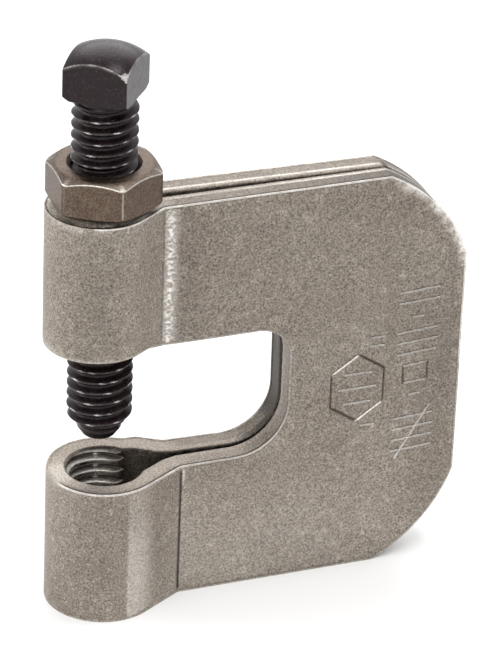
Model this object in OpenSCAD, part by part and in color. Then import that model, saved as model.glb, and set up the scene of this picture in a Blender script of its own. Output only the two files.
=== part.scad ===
// Formed-steel C-type beam clamp for a threaded hanger rod, in millimetres.
// One folded strip makes the body: two flat C-shaped plates lie back to back, and each arm's front end
// is a loop. The lower loop is tapped for the rod and the upper loop for a square-head set screw.
// Origin: centre of the rod hole's lower mouth. +Z runs up along the hole, +X towards the back edge.

/* [Body] */
// Height of the body
body_h = 53; // [51:0.5:58]
// Distance from the rod hole's axis to the back edge
body_depth = 44.65; // [42:0.05:50]
// Thickness of the folded strip
strip_t = 2.9; // [2.85:0.05:3]
// Gap between the two plates
slit_w = 0.1; // [0.1:0.05:0.3]
// Height of the lower arm
lower_arm_h = 17.8; // [16:0.1:18.5]
// Height of the throat between the arms
throat_h = 16.95; // [16:0.05:18]
// Distance from the rod hole's axis to the throat's back wall
throat_depth = 22.35; // [20:0.05:26]
// Radius of the throat's lower corner
throat_lower_r = 6.6; // [5:0.1:7.5]
// Radius of the throat's upper corner
throat_upper_r = 4.3; // [3:0.1:6]
// Length of a cut back corner along X
corner_x = 10.3; // [8:0.1:12]
// Length of a cut back corner along Z
corner_z = 11.6; // [9:0.1:13]
// Radius of the arc that cuts each back corner
corner_r = 20; // [16:0.5:30]

/* [Loops] */
// Outer radius of the rod loop
rod_loop_r = 7; // [6.9:0.05:7.2]
// Where the rod loop's flanks meet the plates
rod_crease_x = 8.85; // [8.6:0.05:9.5]
// Outer radius of the screw loop
screw_loop_r = 6.35; // [6.3:0.05:6.6]
// Centre of the screw loop along X
screw_loop_x = -1.3; // [-1.4:0.05:-1.1]
// Where the screw loop's flanks meet the plates
screw_crease_x = 5.78; // [5.5:0.02:6.5]
// How far the screw loop's underside lies above the plates' underside
loop_lift = 0.65; // [0.2:0.05:0.8]
// Height of the raised ring that the lock nut seats on
seat_h = 0.6; // [0.3:0.05:0.8]

/* [Threads] */
// Wall radius of the rod hole, the pitch radius of a 3/8-16 thread
rod_hole_r = 4.32; // [4.25:0.01:4.4]
// Crest radius of the 5/16-18 set screw
screw_r = 3.93; // [3.85:0.01:3.95]
// Pitch of the set screw's thread
screw_pitch = 1.411; // [1.25:0.001:1.6]
// Wall radius of the screw's holes in the loop and in the nut
screw_hole_r = 4; // [3.98:0.01:4.02]

/* [Set screw] */
// Position of the screw's axis along X
screw_x = -0.75; // [-0.9:0.05:-0.6]
// Height of the screw's tip above the origin
tip_z = 22.65; // [22.3:0.05:26]
// Length of the screw under its head
screw_len = 44.45; // [43:0.05:48]
// Width of the square head across its flats
head_af = 7.8; // [7.5:0.05:8.2]
// Height of the head at its crown
head_h = 6.1; // [5.5:0.05:6.6]
// Radius of the head's domed crown
crown_r = 8.2; // [7:0.1:9]
// Angle that the head is turned to
head_turn = 50.6; // [0:0.1:90]

/* [Lock nut] */
// Width of the nut across its flats
nut_af = 12.3; // [12:0.05:12.7]
// Height of the nut
nut_h = 4.9; // [4:0.02:5.5]
// Angle that the nut is turned to
nut_turn = 29.5; // [0:0.5:60]

/* [Hidden] */
$fn = 64;
overrun = 1;

pair_w = 2 * strip_t + slit_w;
throat_top_z = lower_arm_h + throat_h;
front_x = min(-rod_loop_r, screw_loop_x - screw_loop_r);
loop_slope = 2.4;
seat_wall = 1.1;
seat_flare = 0.5;

thread_depth = 0.55 * screw_pitch;
crest_w = screw_pitch / 8;
cup_r = 1.5;
cup_depth = 0.9;
nose_r = 1.95;
nose_h = 1.1;
pilot_r = 2.7;
pilot_h = 0.55;
lead_h = screw_r - pilot_r;
neck_h = 0.6;
neck_r = screw_r - thread_depth;
thread_z = nose_h + pilot_h + lead_h;
turns = floor((screw_len - neck_h - thread_z) / screw_pitch);

head_corner_r = 0.7 * head_af;
head_foot_r = 4.9;
head_foot_h = 0.4;

nut_gap = 0.03;
nut_z = body_h + seat_h + nut_gap;
nut_corner_r = 0.56 * nut_af;
nut_face_r = 0.46 * nut_af;
nut_top_drop = 0.65;
nut_bottom_rise = 0.4;
nut_sink = 0.45;

// Angle, from +X, of the point where the flank through [crease_x, pair_w / 2] leaves a loop
function flank_angle(loop_x, loop_r, crease_x) =
    let (dx = crease_x - loop_x, dy = pair_w / 2)
    atan2(dy, dx) + acos(loop_r / norm([dx, dy]));

// Where the inner face of a flank reaches the slit
function gap_end(loop_x, inner_r, a) =
    loop_x + inner_r * cos(a) + (inner_r * sin(a) - slit_w / 2) * tan(a);

module plates() {
    translate([0, -pair_w / 2, 0]) cube([body_depth, pair_w, body_h]);
}

module loop(loop_x, loop_r, crease_x, z, h) {
    a = flank_angle(loop_x, loop_r, crease_x);
    touch = [loop_x + loop_r * cos(a), loop_r * sin(a)];
    translate([loop_x, 0, z]) cylinder(r = loop_r, h = h);
    translate([0, 0, z]) linear_extrude(height = h)
        polygon([touch, [crease_x, pair_w / 2], [crease_x, -pair_w / 2], [touch[0], -touch[1]]]);
}

// The wedge of air between a loop's two flanks
module flank_gap(loop_x, loop_r, crease_x, z, h) {
    a = flank_angle(loop_x, loop_r, crease_x);
    inner_r = loop_r - strip_t;
    start = [loop_x + inner_r * cos(a), inner_r * sin(a)];
    end_x = gap_end(loop_x, inner_r, a);
    translate([0, 0, z]) linear_extrude(height = h)
        polygon([start, [end_x, slit_w / 2], [end_x, -slit_w / 2], [start[0], -start[1]]]);
}

module slit() {
    translate([0, -slit_w / 2, -overrun])
        cube([body_depth + overrun, slit_w, body_h + seat_h + 2 * overrun]);
}

// A bar across both plates and loops, from above the front of the body to x1
module across(x1, z0, z1) {
    reach = 2 * rod_loop_r;
    translate([front_x - overrun, -reach / 2 - overrun, z0])
        cube([x1 - front_x + overrun, reach + 2 * overrun, z1 - z0]);
}

module round_across(x, z, r) {
    reach = 2 * rod_loop_r + 2 * overrun;
    translate([x, reach / 2, z]) rotate([90, 0, 0]) cylinder(r = r, h = reach);
}

module throat() {
    across(throat_depth - throat_lower_r, lower_arm_h, throat_top_z);
    across(throat_depth - throat_upper_r, lower_arm_h + throat_lower_r, throat_top_z);
    across(throat_depth, lower_arm_h + throat_lower_r, throat_top_z - throat_upper_r);
    round_across(throat_depth - throat_lower_r, lower_arm_h + throat_lower_r, throat_lower_r);
    round_across(throat_depth - throat_upper_r, throat_top_z - throat_upper_r, throat_upper_r);
}

// The screw loop's underside lies higher than the plates', and slopes down to them along the flanks
module loop_underside() {
    reach = 2 * rod_loop_r;
    slope_x = screw_crease_x - loop_slope;
    translate([0, reach / 2, 0]) rotate([90, 0, 0]) linear_extrude(height = reach)
        polygon([
            [front_x - overrun, throat_top_z - overrun],
            [front_x - overrun, throat_top_z + loop_lift],
            [slope_x, throat_top_z + loop_lift],
            [screw_crease_x, throat_top_z],
            [screw_crease_x, throat_top_z - overrun]
        ]);
}

// What the arc takes off the upper back corner
module back_corner() {
    chord = norm([corner_x, corner_z]);
    rise = sqrt(corner_r * corner_r - chord * chord / 4);
    arc_x = body_depth - corner_x / 2 - rise * corner_z / chord;
    arc_z = body_h - corner_z / 2 - rise * corner_x / chord;
    difference() {
        translate([body_depth - corner_x, -pair_w, body_h - corner_z])
            cube([corner_x + overrun, 2 * pair_w, corner_z + overrun]);
        round_across(arc_x, arc_z, corner_r);
    }
}

module screw_seat() {
    seat_r = screw_hole_r + seat_wall;
    translate([screw_x, 0, body_h]) cylinder(r1 = seat_r + seat_flare, r2 = seat_r, h = seat_h);
}

module clamp_body() {
    color("rosybrown") difference() {
        union() {
            plates();
            loop(0, rod_loop_r, rod_crease_x, 0, lower_arm_h);
            loop(screw_loop_x, screw_loop_r, screw_crease_x, throat_top_z, body_h - throat_top_z);
            screw_seat();
        }
        throat();
        loop_underside();
        back_corner();
        translate([0, 0, body_h]) mirror([0, 0, 1]) back_corner();
        slit();
        flank_gap(0, rod_loop_r, rod_crease_x, -overrun, lower_arm_h + 2 * overrun);
        flank_gap(screw_loop_x, screw_loop_r, screw_crease_x, throat_top_z - overrun,
            body_h - throat_top_z + seat_h + 2 * overrun);
        translate([0, 0, -overrun]) cylinder(r = rod_hole_r, h = lower_arm_h + 2 * overrun);
        translate([screw_x, 0, throat_top_z - overrun])
            cylinder(r = screw_hole_r, h = body_h - throat_top_z + seat_h + 2 * overrun);
    }
}

module screw_head() {
    intersection() {
        rotate([0, 0, head_turn]) translate([-head_af / 2, -head_af / 2, 0]) cube([head_af, head_af, head_h]);
        cylinder(r = head_corner_r, h = head_h);
        translate([0, 0, head_h - crown_r]) sphere(r = crown_r);
        union() {
            cylinder(r1 = head_foot_r, r2 = head_corner_r, h = head_foot_h);
            translate([0, 0, head_foot_h]) cylinder(r = head_corner_r, h = head_h);
        }
    }
}

module set_screw() {
    root_r = screw_r - thread_depth;
    ridge_h = (screw_pitch - crest_w) / 2;
    thread = [for (i = [0 : turns - 1]) each [
        [screw_r, thread_z + i * screw_pitch],
        [screw_r, thread_z + i * screw_pitch + crest_w],
        [root_r, thread_z + i * screw_pitch + crest_w + ridge_h]
    ]];
    color("dimgray") translate([screw_x, 0, tip_z]) {
        rotate_extrude() polygon(concat(
            [[0, cup_depth], [cup_r, 0], [nose_r, 0], [pilot_r, nose_h], [pilot_r, nose_h + pilot_h]],
            thread,
            [[neck_r, screw_len], [0, screw_len]]
        ));
        translate([0, 0, screw_len]) screw_head();
    }
}

module lock_nut() {
    color("gray") translate([screw_x, 0, nut_z]) difference() {
        intersection() {
            rotate([0, 0, nut_turn]) cylinder(d = nut_af / cos(30), h = nut_h, $fn = 6);
            rotate_extrude() polygon([
                [0, 0],
                [nut_face_r, 0],
                [nut_corner_r, nut_bottom_rise],
                [nut_corner_r, nut_h - nut_top_drop],
                [nut_face_r, nut_h],
                [0, nut_h]
            ]);
        }
        translate([0, 0, -overrun]) cylinder(r = screw_hole_r, h = nut_h + 2 * overrun);
        translate([0, 0, nut_h - nut_sink])
            cylinder(r1 = screw_hole_r, r2 = screw_hole_r + nut_sink, h = nut_sink);
        cylinder(r1 = screw_hole_r + nut_sink, r2 = screw_hole_r, h = nut_sink);
    }
}

clamp_body();
set_screw();
lock_nut();
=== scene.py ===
import math

import bmesh
import bpy
import numpy as np
from mathutils import Matrix, Vector, kdtree, noise
from mathutils.geometry import delaunay_2d_cdt


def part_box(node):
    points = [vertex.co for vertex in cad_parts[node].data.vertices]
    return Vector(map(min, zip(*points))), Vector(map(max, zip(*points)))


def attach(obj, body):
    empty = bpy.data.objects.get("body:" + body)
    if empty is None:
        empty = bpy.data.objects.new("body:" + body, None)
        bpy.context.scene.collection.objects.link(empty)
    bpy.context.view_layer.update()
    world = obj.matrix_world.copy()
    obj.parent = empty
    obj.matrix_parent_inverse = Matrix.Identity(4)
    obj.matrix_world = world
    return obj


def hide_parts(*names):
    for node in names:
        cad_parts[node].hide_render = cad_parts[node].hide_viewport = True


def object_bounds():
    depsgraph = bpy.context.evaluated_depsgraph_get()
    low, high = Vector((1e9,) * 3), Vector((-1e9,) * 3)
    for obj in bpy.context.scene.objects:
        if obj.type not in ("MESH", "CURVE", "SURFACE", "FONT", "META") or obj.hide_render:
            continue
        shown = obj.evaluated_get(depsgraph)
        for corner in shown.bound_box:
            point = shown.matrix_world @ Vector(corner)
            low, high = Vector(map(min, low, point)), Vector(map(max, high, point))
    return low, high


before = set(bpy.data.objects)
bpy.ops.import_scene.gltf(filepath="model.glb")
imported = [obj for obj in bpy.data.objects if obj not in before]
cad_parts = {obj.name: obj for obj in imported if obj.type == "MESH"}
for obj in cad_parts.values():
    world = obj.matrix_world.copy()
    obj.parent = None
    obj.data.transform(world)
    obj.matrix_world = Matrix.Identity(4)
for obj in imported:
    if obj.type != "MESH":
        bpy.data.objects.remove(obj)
cad_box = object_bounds()
scene = bpy.context.scene

# Lengths below are in millimetres, in the CAD frame. MM turns them into Blender's metres.
MM = 0.001


def box_mm(node):
    low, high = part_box(node)
    return low / MM, high / MM


body_high = box_mm("clamp_body")[1]
screw_low, screw_high = box_mm("set_screw")
nut_low, nut_high = box_mm("lock_nut")

# ---- sizes

# The sides of the folded strip's two plates
NEAR, FAR = -1, 1

# The strip, its slit, and the raised ring under the lock nut
STRIP_T = 2.9
SLIT_W = 0.1
PAIR_W = 2 * STRIP_T + SLIT_W
SEAT_H = 0.6
SEAT_TOP_R = 5.5
SEAT_FOOT_R = 6.0
BODY_H = body_high.z - SEAT_H
BODY_DEPTH = body_high.x

# The plates' outline
LOWER_ARM_H = 17.8
THROAT_TOP = 34.75
THROAT_DEPTH = 22.35
THROAT_LOWER_R = 6.6
THROAT_UPPER_R = 4.3
THROAT_MIDDLE = (LOWER_ARM_H + THROAT_TOP) / 2
LOOP_LIFT = 0.65
LIFT_SLOPE = 2.4
CORNER_X = 10.3
CORNER_Z = 11.6
CORNER_R = 20.0
CORNER_START_X = BODY_DEPTH - CORNER_X

# The loops, and the creases where they meet the plates
ROD_LOOP_X, ROD_LOOP_R, ROD_CREASE_X = 0.0, 7.0, 8.85
SCREW_LOOP_X, SCREW_LOOP_R, SCREW_CREASE_X = -1.3, 6.35, 5.78
BEND_R = 0.45

# How far the far plate stands off at the loops, and the places where that starts
SPLAY = 1.0
UPPER_SPLAY_Q = 41
LOWER_SPLAY_Q, LOWER_SPLAY_LEN = 32, 27

# Threads. START is the height of one crest where it crosses the +X side of the axis, and a hole's RIM the
# radius of its chamfer.
THREAD_SLOPE = math.sqrt(3)
SCREW_X = -0.75
SCREW_R = 3.93
SCREW_PITCH = 1.411
SCREW_ROOT_R = SCREW_R - 0.55 * SCREW_PITCH
SCREW_START = 64.13
HOLE_RIM_R = SCREW_R + 0.5
ROD_PITCH = 1.5875
ROD_START = 0.55
ROD_RIM_R = 4.86

# The set screw's cone, neck and head. HEAD_TURN is the direction of one face of the square.
TIP_Z = screw_low.z
CONE_R, CONE_H = 2.7, 1.65
NECK_H = 0.6
SCREW_LEN = 44.45
HEAD_Z = TIP_Z + SCREW_LEN
HEAD_H = screw_high.z - HEAD_Z
HEAD_AF = 7.8
HEAD_CORNER_R = 0.7 * HEAD_AF
HEAD_FOOT_R = 4.9
HEAD_TURN = math.radians(50.6)
CROWN_R = 8.2

# A small flat worn on the head's front corner
FRONT_CORNER = HEAD_TURN - math.radians(135)
FACET_TILT = math.radians(31.5)
FACET_AT = 6.53

# The lock nut. NUT_TURN is the direction of one corner.
NUT_AF = 12.3
NUT_Z = nut_low.z
NUT_H = nut_high.z - nut_low.z
NUT_TURN = math.radians(29.5)


# ---- small tools


def smooth(a, b, x):
    """0 at a and 1 at b, with a soft start and end. b may be below a."""
    t = np.clip((x - a) / (b - a), 0, 1)
    return t * t * (3 - 2 * t)


def rough(points, size, octaves, shift=0.0):
    """Fractal noise from about -1 to 1 at each point, with lumps about size millimetres across."""
    places = (Vector((x / size + shift, y / size, z / size)) for x, y, z in points)
    return np.array([noise.fractal(p, 0.8, 2.0, octaves) for p in places])


def hump(x, centre, width):
    """1 at centre, and fading on both sides."""
    return np.exp(-(((x - centre) / width) ** 2))


def on_axis(r, theta, z):
    """Points round the set screw's axis."""
    x, y = SCREW_X + r * np.cos(theta), r * np.sin(theta)
    return np.stack(np.broadcast_arrays(x, y, z), axis=-1)


class Thread:
    """A thread round the vertical axis at x. crest is half a crest's width, depth that of the flanks."""

    def __init__(self, x, start, pitch, major, minor, crest, depth):
        self.x, self.start, self.pitch = x, start, pitch
        self.major, self.minor, self.crest, self.depth = major, minor, crest, depth

    def radius(self, theta, z):
        turns = (z - self.start) / self.pitch - theta / math.tau
        across = np.abs(turns - np.round(turns)) * self.pitch
        drop = THREAD_SLOPE * np.maximum(0, across - self.crest)
        return np.clip(self.major - drop, self.minor, self.major)

    def rows(self):
        """Where the rows of points lie within one pitch, from the middle of one crest to the next."""
        flank = self.depth / THREAD_SLOPE
        root = self.pitch / 2 - self.crest - flank
        soft = 0.12 * flank
        half = [self.crest - soft * 0.6, self.crest + soft, self.crest + flank / 2,
                self.crest + flank - soft, self.crest + flank + min(soft, root * 0.6)]
        return sorted([0.0, self.pitch / 2] + half + [self.pitch - h for h in half])

    def pitches(self, low, high):
        """The heights at which the thread's pitches start, from below low to above high."""
        first = math.floor((low - self.start) / self.pitch - 1)
        last = math.ceil((high - self.start) / self.pitch + 1)
        return [self.start + k * self.pitch for k in range(first, last + 1)]


SCREW_THREAD = Thread(SCREW_X, SCREW_START, SCREW_PITCH, SCREW_R, SCREW_ROOT_R,
                      SCREW_PITCH / 16, SCREW_R - SCREW_ROOT_R)
# The holes that the set screw passes, in the upper loop and in the lock nut
HOLE_THREAD = Thread(SCREW_X, SCREW_START, SCREW_PITCH, SCREW_R + 0.1, SCREW_ROOT_R + 0.2,
                     SCREW_PITCH / 16 + 0.03, 0.68)
ROD_THREAD = Thread(ROD_LOOP_X, ROD_START, ROD_PITCH, 4.8, 4.0, ROD_PITCH / 16, 0.7)


# ---- meshes from parts

# Points closer together than this become one
MERGE = 0.0004


def add_object(name, data):
    made = bpy.data.objects.new(name, data)
    scene.collection.objects.link(made)
    return made


class Skin:
    """Collects grids and triangle sheets into one closed mesh. Each point carries two marks: rubbed shine
    with painted highlights, and dark marks of the metal with painted shade.
    """

    def __init__(self):
        self.points, self.marks, self.faces, self.count = [], [], [], 0

    def add(self, points, marks, faces):
        self.points.append(points)
        self.marks.append(marks)
        self.faces.extend([tuple(int(i) + self.count for i in f) for f in faces])
        self.count += len(points)

    def add_grid(self, rows, marks, wrap=False, close=False):
        """rows is [row, column, 3]. wrap joins the last column to the first, and close the last row."""
        rows = np.asarray(rows, float)
        n, m = rows.shape[:2]
        faces = []
        for i in range(n if close else n - 1):
            for j in range(m if wrap else m - 1):
                a, b = i * m + j, i * m + (j + 1) % m
                c, d = ((i + 1) % n) * m + (j + 1) % m, ((i + 1) % n) * m + j
                faces.append((a, b, c, d))
        self.add(rows.reshape(-1, 3), marks.reshape(-1, 2), faces)

    def add_cap(self, ring, centre, flip=False):
        m = len(ring)
        points = np.vstack([ring, [centre]])
        faces = [((i + 1) % m, i, m) if flip else (i, (i + 1) % m, m) for i in range(m)]
        self.add(points, np.zeros((m + 1, 2)), faces)

    def build(self, name):
        mesh = bpy.data.meshes.new(name)
        points = np.vstack(self.points) * MM
        mesh.from_pydata(points.tolist(), [], self.faces)
        marks = np.vstack(self.marks)
        # The two marks: rubbed shine and painted highlight, then dark marks and painted shade.
        for k, label in enumerate(("polish_and_highlight", "grime_and_shade")):
            layer = mesh.attributes.new(label, "FLOAT", "POINT")
            layer.data.foreach_set("value", np.clip(marks[:, k], 0, 1).astype(np.float32))
        work = bmesh.new()
        work.from_mesh(mesh)
        bmesh.ops.remove_doubles(work, verts=work.verts, dist=MERGE * MM)
        bmesh.ops.dissolve_degenerate(work, edges=work.edges, dist=MERGE * MM)
        loose = [v for v in work.verts if not v.link_faces]
        bmesh.ops.delete(work, geom=loose, context="VERTS")
        bmesh.ops.recalc_face_normals(work, faces=work.faces)
        work.to_mesh(mesh)
        work.free()
        mesh.shade_smooth()
        piece = add_object(name, mesh)
        piece.modifiers.new("even_shading", "WEIGHTED_NORMAL").keep_sharp = True
        return piece


# ---- the folded strip


class Arm:
    """An arm's strip seen from above. q runs along the strip's outer face: on the plate it is x, and
    further forward it follows the crease's bend, the straight flank and the loop's arc to its front."""

    def __init__(self, loop_x, loop_r, crease_x):
        dx, dy = crease_x - loop_x, PAIR_W / 2
        self.x, self.r = loop_x, loop_r
        self.angle = math.atan2(dy, dx) + math.acos(loop_r / math.hypot(dx, dy))
        turn = math.pi / 2 - self.angle
        cut = BEND_R * math.tan(turn / 2)
        flank = math.sqrt(dx * dx + dy * dy - loop_r * loop_r) - cut
        self.plate_q = crease_x + cut
        self.bend_q = self.plate_q - BEND_R * turn
        self.flank_q = self.bend_q - flank
        self.front_q = self.flank_q - loop_r * (math.pi - self.angle)

    def place(self, q, depth):
        """x and y of a point at depth under the outer face, on the side where y is positive."""
        a, r, phi = self.angle, self.r - depth, np.minimum(math.pi, self.around(q))
        beta, bend_r = self.angle + (q - self.bend_q) / BEND_R, BEND_R + depth
        along = q - self.flank_q
        part = [q > self.plate_q, q > self.bend_q, q > self.flank_q]
        x = [q, self.plate_q - bend_r * np.cos(beta), self.x + r * math.cos(a) + along * math.sin(a)]
        y = [PAIR_W / 2 - depth, PAIR_W / 2 + BEND_R - bend_r * np.sin(beta),
             r * math.sin(a) - along * math.cos(a)]
        return np.select(part, x, self.x + r * np.cos(phi)), np.select(part, y, r * np.sin(phi))

    def around(self, q):
        """The direction of a point of the loop, as an angle from the plates' side."""
        return self.angle + (self.flank_q - q) / self.r


UPPER = Arm(SCREW_LOOP_X, SCREW_LOOP_R, SCREW_CREASE_X)
LOWER = Arm(ROD_LOOP_X, ROD_LOOP_R, ROD_CREASE_X)


def by_arm(z, upper, lower):
    """One of two values, by the arm that a point belongs to."""
    return np.where(z > THROAT_MIDDLE, upper, lower)


# Distance between the points along the strip's cut edge
EDGE_STEP = 0.4


def arc(centre, radius, start, end):
    n = max(2, int(abs(end - start) * radius / EDGE_STEP) + 1)
    angles = [start + (end - start) * i / n for i in range(n + 1)]
    return [(centre[0] + radius * math.cos(a), centre[1] + radius * math.sin(a)) for a in angles]


def corner_centre():
    """Centre of the arc that cuts the upper back corner."""
    chord = math.hypot(CORNER_X, CORNER_Z)
    rise = math.sqrt(CORNER_R ** 2 - chord ** 2 / 4)
    cx = BODY_DEPTH - CORNER_X / 2 - rise * CORNER_Z / chord
    cz = BODY_H - CORNER_Z / 2 - rise * CORNER_X / chord
    return cx, cz


def corner_arc(top):
    """The arc that cuts a back corner, from the back edge to the top or the bottom edge."""
    cx, cz = corner_centre()
    start = math.atan2(BODY_H - CORNER_Z - cz, BODY_DEPTH - cx)
    points = arc((cx, cz), CORNER_R, start, math.atan2(BODY_H - cz, CORNER_START_X - cx))
    return points if top else [(x, BODY_H - z) for x, z in points]


def subdivide(corners, step):
    """Points no further apart than step along a polyline, its corners included."""
    out = [corners[0]]
    for (x0, z0), (x1, z1) in zip(corners, corners[1:]):
        n = max(1, math.ceil(math.hypot(x1 - x0, z1 - z0) / step - 1e-9))
        out += [(x0 + (x1 - x0) * i / n, z0 + (z1 - z0) * i / n) for i in range(1, n + 1)]
    return out


def rim_edge():
    """Half of the strip's outer edge, from the lower loop's front round the back to the upper one's."""
    corners = corner_arc(False)[::-1] + corner_arc(True)
    return np.array(subdivide([(LOWER.front_q, 0.0)] + corners + [(UPPER.front_q, BODY_H)], EDGE_STEP))


def throat_edge():
    """Half of the window's edge, from the upper loop's front round the throat to the lower one's."""
    lift_q = SCREW_CREASE_X - LIFT_SLOPE
    lifted = THROAT_TOP + LOOP_LIFT
    path = [(UPPER.front_q, lifted), (lift_q, lifted), (SCREW_CREASE_X, THROAT_TOP)]
    upper = (THROAT_DEPTH - THROAT_UPPER_R, THROAT_TOP - THROAT_UPPER_R)
    lower = (THROAT_DEPTH - THROAT_LOWER_R, LOWER_ARM_H + THROAT_LOWER_R)
    path += arc(upper, THROAT_UPPER_R, math.pi / 2, 0)
    path += arc(lower, THROAT_LOWER_R, 0, -math.pi / 2)
    path += [(LOWER.front_q, LOWER_ARM_H)]
    return np.array(subdivide(path, EDGE_STEP))


def inset(path, distance):
    """The path moved to its left by distance, with mitred corners."""
    step = np.diff(path, axis=0)
    step /= np.linalg.norm(step, axis=1)[:, None]
    left = np.stack([-step[:, 1], step[:, 0]], axis=1)
    before, after = np.vstack([left[:1], left]), np.vstack([left, left[-1:]])
    mitre = before + after
    mitre /= (mitre * before).sum(axis=1)[:, None]
    return path + mitre * distance


# The cut edge of the strip, from its outer face over a raised burr and the flat of the cut to the corner at
# the slit: how far each step lies inside the outline, and its depth under the outer face.
EDGE_PROFILE = [
    (0.40, 0.00), (0.28, 0.02), (0.16, 0.04), (0.06, 0.01), (0.01, 0.01), (0.00, 0.06), (0.01, 0.15),
    (0.08, 0.22), (0.12, 0.31), (0.10, 0.42), (0.07, 0.60), (0.06, 1.00), (0.05, 1.45), (0.045, 1.85),
    (0.035, 2.05), (0.03, 2.20), (0.04, 2.40), (0.05, 2.65), (0.08, 2.78), (0.16, 2.86), (0.28, 2.90),
]
OUTER_INSET = EDGE_PROFILE[0][0]
INNER_INSET = EDGE_PROFILE[-1][0]


# ---- stamped marks


def bar(x0, z0, x1, z1):
    return np.array([(x0, z0), (x1, z1)])


def stamp_strokes():
    """Plain marks in the near plate: a six-sided badge with bars in it, and a column of tally strokes."""
    badge_x, badge_z, half_w, half_h = 31.25, 24.9, 3.95, 4.55
    turns = np.radians(range(0, 361, 60))
    strokes = [np.stack([badge_x + half_w * np.sin(turns), badge_z + half_h * np.cos(turns)], axis=1)]
    badge_bars = ((22.9, 29.6, 32.9), (24.9, 28.9, 33.6), (26.9, 29.6, 32.9))
    strokes += [bar(x0, z, x1, z) for z, x0, x1 in badge_bars]
    ticks = ((33.6, 30.4), (33.6, 31.6), (32.8, 19.6))
    strokes += [bar(x - 0.8, z, x + 0.8, z) for x, z in ticks]
    column_x0, column_x1 = 36.3, 41.3
    tallies = (15.2, 16.7, 18.2, 19.7, 28.6, 30.1, 31.6, 35.6, 37.1)
    strokes += [bar(column_x0, z, column_x1, z + 0.3) for z in tallies]
    strokes.append(bar(column_x0 + 0.4, 14.2, column_x1 - 0.4, 21.1))
    strokes += [bar(38.2, z, 39.4, z + 0.07) for z in (22.9, 33.6)]
    strokes.append(np.array([(37.2, 24.6), (37.2, 27.0), (40.4, 27.2), (40.4, 24.8), (37.2, 24.6)]))
    return strokes


STROKES = stamp_strokes()
# Distance from a stroke's middle line, and how deep the face lies there: a groove between two soft lips
GROOVE_AT = (0.0, 0.05, 0.13, 0.20, 0.30)
GROOVE_DEPTH = (0.15, 0.12, 0.0, -0.025, 0.0)
# The direction of the strokes that shine most
BRIGHT_LEAN = math.radians(30)


def nearest_stroke(q, z):
    """Distance from each point to the nearest stroke's middle line, how that stroke catches the light (1 if
    it rises to the right, -1 if it falls), and how far above the line the point lies, as a share."""
    p = np.stack([q, z], axis=1)
    best, lean, above = np.full(len(q), 99.0), np.zeros(len(q)), np.zeros(len(q))
    for path in STROKES:
        for a, b in zip(path, path[1:]):
            along = b - a
            t = np.clip(((p - a) @ along) / (along @ along), 0, 1)
            away = np.linalg.norm(p - a - t[:, None] * along, axis=1)
            turn = math.atan2(along[1], along[0]) - BRIGHT_LEAN
            height = (p[:, 1] - a[1] - t * along[1]) / np.maximum(away, 1e-6)
            lean = np.where(away < best, math.cos(2 * turn), lean)
            above = np.where(away < best, height, above)
            best = np.minimum(best, away)
    return best, lean, above


# ---- the body's surface


# Width of the bright band behind the upper crease
BAND_W = 2.15


def band_mask(q, z):
    """The strip of metal behind the upper crease that the forming tool rubbed bright."""
    wander = 0.12 * np.sin(z * 0.9) + 0.08 * np.sin(z * 2.3 + 1)
    start, end = UPPER.plate_q - 0.15, UPPER.plate_q + BAND_W + wander
    return smooth(start, start + 0.25, q) * smooth(end, end - 0.7, q) * (z > THROAT_MIDDLE)


def chatter(q, z):
    """Uneven ripples, from about -1 to 1, that the forming tool left in the bright band."""
    out = np.zeros(len(q))
    here = np.flatnonzero(band_mask(q, z) > 0)
    spots = np.stack([q[here] / 1.3, z[here], np.zeros(len(here))], axis=1)
    out[here] = np.clip(1.8 * rough(spots, 0.38, 3, 3.1), -1, 1)
    return out


def relief(side, q, z):
    """How far the outer face lies under its nominal place."""
    out = band_mask(q, z) * (0.05 + 0.05 * chatter(q, z))
    if side == NEAR:
        out = out + np.interp(nearest_stroke(q, z)[0], GROOVE_AT, GROOVE_DEPTH)
    return out


def upper_hole(r, theta, z, depth):
    """Fills the upper loop's wall to the thread's minor radius, then cuts the thread and its two rims."""
    filled = HOLE_THREAD.minor + smooth(4.02, 4.4, r) * (r - HOLE_THREAD.minor)
    inner = smooth(STRIP_T - 0.3, STRIP_T, depth)
    r = r + (np.minimum(filled, r) - r) * inner
    cut = np.maximum(HOLE_THREAD.radius(theta, z), HOLE_RIM_R - np.abs(z - BODY_H - SEAT_H))
    cut = np.maximum(cut, HOLE_RIM_R - np.abs(z - THROAT_TOP - LOOP_LIFT))
    return np.maximum(r, cut)


def rod_eye(r, theta, z):
    """Cuts the hanger rod's thread and its two rims in the lower loop's wall."""
    cut = np.maximum(ROD_THREAD.radius(theta, z), ROD_RIM_R - np.abs(z - LOWER_ARM_H))
    cut = np.maximum(cut, ROD_RIM_R - np.abs(z))
    return np.maximum(r, cut)


def far_splay(q, z):
    """How far the far plate stands away from the near one. The slit opens towards each loop."""
    upper = np.clip((UPPER_SPLAY_Q - q) / (UPPER_SPLAY_Q - UPPER.plate_q), 0, 1)
    upper = upper * smooth(UPPER.flank_q, UPPER.bend_q, q) * smooth(LOWER_ARM_H + 2, THROAT_TOP, z)
    lower = np.clip((LOWER_SPLAY_Q - q) / LOWER_SPLAY_LEN, 0, 1) ** 1.3
    lower = lower * smooth(3.0, 6.0, q) * smooth(THROAT_TOP - 2, LOWER_ARM_H, z)
    return SPLAY * (upper + lower)


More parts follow.
